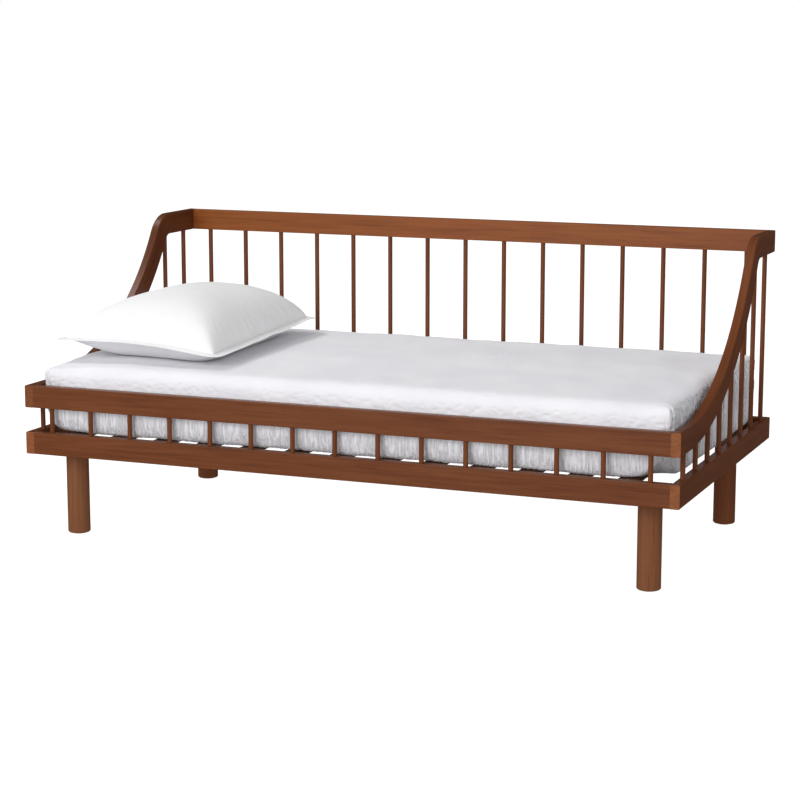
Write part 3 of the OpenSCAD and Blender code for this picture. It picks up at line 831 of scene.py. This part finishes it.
def make_mattress():
    random = np.random.default_rng(20)
    shape = MATTRESS_HALF - 1 * MM
    cut, shift = blown_mattress(shape, random)
    hx, hy, hz = shape
    end = hx - 130 * MM
    xs = lines([(-hx, 3.6 * MM), (-end, 4.6 * MM), (end, 3.6 * MM), (hx, 0)])
    ys = lines([(-hy, 3.6 * MM), (100 * MM - hy, 4.2 * MM), (hy, 0)])
    zs = lines([(-hz, 5 * MM), (60 * MM - hz, 7 * MM), (hz - 80 * MM, 3.6 * MM), (hz, 0)])
    rest, faces, index = box_grid(xs, ys, zs)
    points = mattress_form(rest, shape) + sampled(shift, cut, rest)
    points = smoothed(points, faces, 2)
    around, down = box_chart(rest, shape, SQUARE)[:2]
    out = vertex_normals(points, faces)
    lift = gathers(around, down, shape, random)
    # slack all over
    lift += 1.1 * MM * undulation(rest[:, 0], rest[:, 1] - rest[:, 2], random, 0.09, 0.5)
    points = points + out * lift[:, None]
    points = smoothed(points, faces, 1, 0.75)

    # it stays inside the frame and above the slats
    floor = 0.15 * MM - MATTRESS_HALF[2]
    points[:, 2] = np.maximum(points[:, 2], floor)
    points[:, 2] = np.minimum(points[:, 2], MATTRESS_HALF[2] + 0.5 * MM)
    most = MATTRESS_HALF[:2] + np.array([9.5 * MM, BELLY])
    points[:, :2] = np.clip(points[:, :2], -most, most)
    points, faces = thinned(points, faces, index, xs, ys)
    return add_mesh("mattress", points + MATTRESS_MID, faces, knit)


mattress = make_mattress()
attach(mattress, "mattress")
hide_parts("mattress_core", "mattress_cover")


# ---------------------------------------------------------------- pillow

low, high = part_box("pillow_sham")
PILLOW_HALF = np.array((high - low) / 2)
FLANGE = 24 * MM
SEAM_Z = 556 * MM
UNDER_DEPTH = 95 * MM
PILLOW_TOP = high[2] - 2 * MM
REST_Z = low[2]


def pillow_blank(nx, ny, half, plump):
    """Two layers on one grid that share their outline, a little domed."""
    i, j = np.meshgrid(np.arange(nx + 1), np.arange(ny + 1), indexing="ij")
    u, v = 2 * i / nx - 1, 2 * j / ny - 1
    corner = 14 * MM
    flat = np.stack([u * half[0], v * half[1], 0 * u], -1).reshape(-1, 3)
    size = np.abs(flat[:, :2]) - (half - corner)
    inside = np.clip(size, 0, None)
    both = (inside > 0).all(1)
    turn = inside.max(1) / np.maximum(np.hypot(*inside.T), 1e-9)
    for axis in range(2):
        rounded = np.sign(flat[:, axis]) * (half[axis] - corner + inside[:, axis] * turn)
        flat[:, axis] = np.where(both, rounded, flat[:, axis])
    dome = (plump * ((1 - u ** 4) * (1 - v ** 4)) ** 0.6).ravel()
    edge = ((i % nx == 0) | (j % ny == 0)).ravel()
    top = np.arange(len(flat))
    under = top.copy()
    under[~edge] = len(flat) + np.arange((~edge).sum())
    points = np.concatenate([flat, flat[~edge]])
    points[:, 2] = np.concatenate([dome, -dome[~edge]])
    faces = []
    for layer, turned in ((top, False), (under, True)):
        g = layer.reshape(nx + 1, ny + 1)
        quads = np.stack([g[:-1, :-1], g[1:, :-1], g[1:, 1:], g[:-1, 1:]], -1).reshape(-1, 4)
        faces.append(quads[:, ::-1] if turned else quads)
    g = top.reshape(nx + 1, ny + 1)
    ring = np.concatenate([g[:-1, 0], g[-1, :-1], g[:0:-1, -1], g[0, :0:-1]])
    return points, np.concatenate(faces), ring


def ring_frame(seam):
    """Outward way in plan at each point of a closed line, longer where it is slanted, so
    that a line offset by it keeps sharp corners."""
    loop = seam[:, :2]
    ahead = np.roll(loop, -2, 0) - np.roll(loop, 2, 0)
    out = np.stack([ahead[:, 1], -ahead[:, 0]], 1)
    return out / np.abs(out).max(1)[:, None]


def subdivided(points, faces):
    """One round of smooth subdivision."""
    piece = add_mesh("blank", points, faces)
    modifier = piece.modifiers.new("fine", "SUBSURF")
    modifier.levels = modifier.render_levels = 1
    graph = bpy.context.evaluated_depsgraph_get()
    mesh = piece.evaluated_get(graph).data
    fine = coordinates(mesh)
    quads = np.empty(len(mesh.polygons) * 4, np.int32)
    mesh.polygons.foreach_get("vertices", quads)
    bpy.data.objects.remove(piece)
    return fine, quads.reshape(-1, 4)


# Where the flange's four corners lie: front left, front right, back right, back left
PILLOW_CORNERS = np.array([
    (-0.966, -0.389, 0.566), (-0.413, -0.397, 0.543),
    (-0.460, 0.400, 0.563), (-0.952, 0.395, 0.563),
])


def laid_out(u, v):
    """A place on the lying pillow from -1 to 1 across and along it, its sides drawn in
    and the front one arched."""
    arch = 17 * MM * (1 - u * u) * ((1 - v) / 2) ** 2
    u, v = u * (1 - 0.020 * (1 - v * v)), v * (1 - 0.026 * (1 - u * u))
    shares = [(1 - u) * (1 - v), (1 + u) * (1 - v), (1 + u) * (1 + v), (1 - u) * (1 + v)]
    place = sum(share[:, None] / 4 * spot for share, spot in zip(shares, PILLOW_CORNERS))
    place[:, 2] += arch
    return place


def lengths(line):
    """The way along a line up to each of its points."""
    steps = np.linalg.norm(np.diff(line, axis=0), axis=1)
    return np.concatenate([[0], steps]).cumsum()


def blown_pillow(random):
    """The filled body before it is laid down, its quads and the ring along its seam."""
    half = PILLOW_HALF[:2] - FLANGE
    points, faces, ring = pillow_blank(56, 84, half, 45 * MM)
    points[:, 2] += random.normal(0, 0.3 * MM, len(points)) * (points[:, 2] != 0)
    piece = add_mesh("pillow_blank", points, faces)
    held = np.zeros(len(points))
    held[ring] = 1
    points = inflate(piece, 5.0, 30, 90 * MM, 8, 0.35, held, np.ones(len(points)), 0.09)
    bpy.data.objects.remove(piece)
    return points, faces, ring


def rested(point, hit):
    """The height of a point of the underside, softly kept above the mattress."""
    above = Vector((point[0], point[1], PILLOW_TOP))
    below = hit.ray_cast(above, Vector((0, 0, -1)))[0]
    support = (below.z if below else REST_Z) + 0.6 * MM
    soft = 3 * MM
    gap = (point[2] - support) / soft
    return support + soft * (max(gap, 0) + math.log1p(math.exp(-abs(gap))))


def laid_body(points):
    """The blown body as it lies: its seam as the photograph shows it, more of its height
    above the seam than below, and its underside on the mattress."""
    rise = points[:, 2] / np.abs(points[:, 2]).max()
    left = np.clip(0.23 - 0.77 * points[:, 0] / PILLOW_HALF[0], 0, 1)
    top = np.clip(rise, 0, None) ** 0.80 * (1 - 0.10 * left) * (PILLOW_TOP - 3 * MM - SEAM_Z)
    under = -UNDER_DEPTH * np.abs(rise) ** 1.15
    laid = laid_out(points[:, 0] / PILLOW_HALF[0], points[:, 1] / PILLOW_HALF[1])
    laid[:, 2] += np.where(rise > 0, top, under)

    hit = BVHTree.FromObject(mattress, bpy.context.evaluated_depsgraph_get())
    for number in np.flatnonzero(rise < 0):
        laid[number, 2] = rested(laid[number], hit)
    return laid


def make_flange(seam, random):
    """A flat double hem round the seam, with a slow wave and sharp corners. Returns its
    points, its quads and the lines of its upper and of its lower face."""
    out = ring_frame(seam)
    out = (np.roll(out, 1, 0) + 2 * out + np.roll(out, -1, 0)) / 4
    count = len(seam)
    wave = 2.2 * MM * ripple(lengths(seam), random, 0.11, 0.5)
    wave = wave * np.sin(math.pi * np.arange(count) / count)
    # the way out from the seam, the share of the wave there, and half the thickness
    profile = [
        (-7 * MM, 0, 0.9 * MM), (0, 0, 1.3 * MM), (8 * MM, 0.25, 1.0 * MM),
        (16 * MM, 0.6, 1.0 * MM), (FLANGE, 1.0, 1.3 * MM),
    ]
    upper, lower = [], []
    for offset, share, thick in profile:
        row = seam.copy()
        row[:, :2] += out * offset
        row[:, 2] += share * (wave - 2.5 * MM)
        upper.append(row + [0, 0, thick])
        lower.append(row - [0, 0, thick])
    rim = (upper[-1] + lower[-1]) / 2
    rim[:, :2] += out * 1.3 * MM
    loops = upper + [rim] + lower[::-1]
    around = np.arange(count)
    ahead = np.roll(around, -1)
    strips = []
    for n in range(len(loops)):
        a, b = n * count, (n + 1) % len(loops) * count
        strips.append(np.stack([a + around, b + around, b + ahead, a + ahead], 1)[:, ::-1])
    hem, strips = subdivided(np.concatenate(loops), np.concatenate(strips))
    return hem, strips, upper, lower


def make_pillow():
    random = np.random.default_rng(5)
    points, faces, ring = blown_pillow(random)
    points = laid_body(points)
    body, quads = subdivided(points, faces)
    hem, strips, upper, lower = make_flange(points[ring], random)
    points = np.concatenate([body, hem])
    quads = np.concatenate([quads, strips + len(body)])
    return add_mesh("pillow", points, quads, percale), upper, lower


pillow, hem_upper, hem_lower = make_pillow()
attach(pillow, "pillow")
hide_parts("pillow_filling", "pillow_sham")


def make_stitches():
    """Two rows of running stitch, above and below the flange beside the body."""
    points, faces = [], []
    for rows, lift in ((hem_upper, 0.25 * MM), (hem_lower, -0.25 * MM)):
        line = 0.65 * rows[1] + 0.35 * rows[2]
        line = np.concatenate([line, line[:1]])
        length = lengths(line)
        starts = np.arange(0, length[-1] - 4 * MM, 4.2 * MM)
        for start in starts:
            at = [np.array([np.interp(s, length, line[:, k]) for k in range(3)])
                  for s in (start, start + 1.4 * MM, start + 2.8 * MM)]
            way = at[2] - at[0]
            way /= np.linalg.norm(way)
            side = np.cross(way, [0, 0, 1.0])
            base = len(points)
            for place, wide in zip(at, (0.22 * MM, 0.42 * MM, 0.22 * MM)):
                for turn in range(4):
                    angle = TAU * turn / 4
                    shift = side * math.cos(angle) + np.array([0, 0, math.sin(angle)])
                    points.append(place + [0, 0, lift] + shift * wide)
            for ring in range(2):
                for turn in range(4):
                    a, b = base + 4 * ring + turn, base + 4 * ring + (turn + 1) % 4
                    faces.append((a, b, b + 4, a + 4))
            faces.append((base + 3, base + 2, base + 1, base))
            faces.append((base + 8, base + 9, base + 10, base + 11))
    return add_mesh("pillow_stitching", points, faces, thread_cotton)


stitches = make_stitches()
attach(stitches, "pillow")


# ---------------------------------------------------------------- room and light

def make_room():
    floor = add_mesh(
        "floor", [(-60, -60, 0), (60, -60, 0), (60, 60, 0), (-60, 60, 0)], [(0, 1, 2, 3)],
    )
    shade = Shade("pale_floor", Roughness=0.9, Specular_IOR_Level=0.1)
    mottle = shade.noise(shade.place(), scale=3, detail=2)
    colour = shade.ramp(mottle, [(0.2, (0.31, 0.31, 0.31)), (0.8, (0.33, 0.33, 0.33))])
    shade.skin.inputs["Emission Color"].default_value = (1, 1, 1, 1)
    shade.skin.inputs["Emission Strength"].default_value = 0.93
    floor.data.materials.append(shade.finish(Base_Color=colour))
    floor.visible_diffuse = floor.visible_glossy = False

    # white behind everything, a softer fill on surfaces and less still in their gloss
    world = bpy.data.worlds.new("studio")
    world.use_nodes = True
    tree = world.node_tree
    tree.nodes.clear()
    out = tree.nodes.new("ShaderNodeOutputWorld")
    path = tree.nodes.new("ShaderNodeLightPath")
    result = None
    for strength, ray in ((0.56, None), (0.05, "Is Glossy Ray"), (1.0, "Is Camera Ray")):
        glow = tree.nodes.new("ShaderNodeBackground")
        glow.inputs["Color"].default_value = (1, 1, 1, 1)
        glow.inputs["Strength"].default_value = strength
        if ray:
            blend = tree.nodes.new("ShaderNodeMixShader")
            tree.links.new(path.outputs[ray], blend.inputs[0])
            tree.links.new(result, blend.inputs[1])
            tree.links.new(glow.outputs[0], blend.inputs[2])
            glow = blend
        result = glow.outputs[0]
    tree.links.new(result, out.inputs["Surface"])
    scene.world = world


def make_light(name, azimuth, elevation, distance, size, energy):
    """A square softbox that looks at the middle of the bed."""
    data = bpy.data.lights.new(name, "AREA")
    data.size = size
    data.energy = energy
    lamp = bpy.data.objects.new(name, data)
    a, e = math.radians(azimuth), math.radians(elevation)
    way = Vector((math.sin(a) * math.cos(e), -math.cos(a) * math.cos(e), math.sin(e)))
    middle = Vector((0, 0, 0.45))
    lamp.location = middle + way * distance
    lamp.rotation_euler = (-way).to_track_quat("-Z", "Y").to_euler()
    scene.collection.objects.link(lamp)


make_room()
make_light("key", -98, 49, 6.0, 1.2, 88)
make_light("front", -10, 18, 7.0, 4.2, 240)
make_light("right", 58, 12, 6.5, 3.0, 34)
scene.view_settings.view_transform = "Standard"
